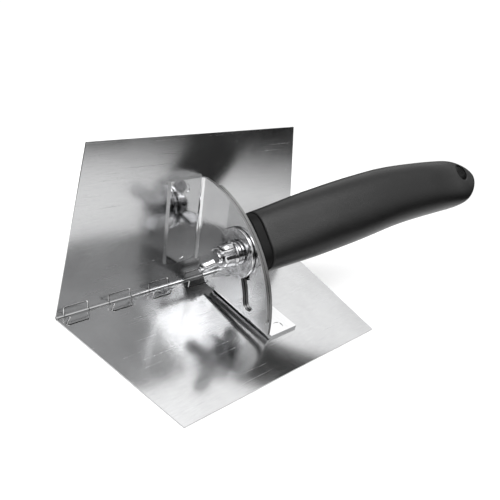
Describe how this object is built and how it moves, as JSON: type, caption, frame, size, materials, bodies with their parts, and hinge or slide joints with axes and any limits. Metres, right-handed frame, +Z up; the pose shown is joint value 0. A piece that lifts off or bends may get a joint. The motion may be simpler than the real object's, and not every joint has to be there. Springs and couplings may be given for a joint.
{
  "type": "inside corner trowel",
  "caption": "Adjustable inside corner trowel: two hinged steel blades at a right angle, slotted quadrant plates clamped by a wing nut, and a soft-grip handle.",
  "frame": {"origin": "centre of the lower blade's working face, which lies on z = 0", "axes": "+X along the corner line towards the handle's end, +Y from the lower blade's free edge towards the corner, +Z up the standing blade"},
  "size_m": [0.1905, 0.0886, 0.0854],
  "materials": {
    "blade_steel": "polished stainless sheet with fine grain",
    "plate_steel": "bright stainless sheet",
    "zinc": "bright zinc plate",
    "black_plastic": "matt moulded plastic",
    "black_rubber": "fine-grained soft grip"
  },
  "bodies": {
    "lower": {"blade_lower": "blade_steel", "hinge_straps": "blade_steel", "plate_lower": "plate_steel"},
    "upper": {"blade_upper": "blade_steel", "plate_upper": "plate_steel"},
    "handle": {"stud": "zinc", "anchor_nut": "zinc", "jam_nut": "zinc", "rear_washer": "zinc", "collar": "black_plastic", "handle_core": "black_plastic", "handle_skin": "black_rubber"},
    "washers": {"front_washer": "zinc", "spring_washer": "zinc"},
    "wing_nut": {"wing_nut": "zinc"}
  },
  "joints": [
    {"name": "blade_fold", "type": "hinge", "parent": "lower", "child": "upper", "pos_m": [0, 0.04, 0.0009], "axis": [-1, 0, 0], "range_deg": [-6, 27]},
    {"name": "handle_arc", "type": "hinge", "parent": "lower", "child": "handle", "pos_m": [0, 0.04, 0.0009], "axis": [-1, 0, 0], "range_deg": [-6, 5]},
    {"name": "clamp_slack", "type": "slide", "parent": "handle", "child": "washers", "axis": [-1, 0, 0], "range_m": [0, 0.002]},
    {"name": "wing_nut_turn", "type": "hinge", "parent": "washers", "child": "wing_nut", "pos_m": [-0.015, 0.01051, 0.03423], "axis": [-1, 0, 0], "range_deg": [0, 720]}
  ],
  "couplings": [
    {"joint": "wing_nut_turn", "follows": "clamp_slack", "rad_per_m": 6283.2}
  ]
}
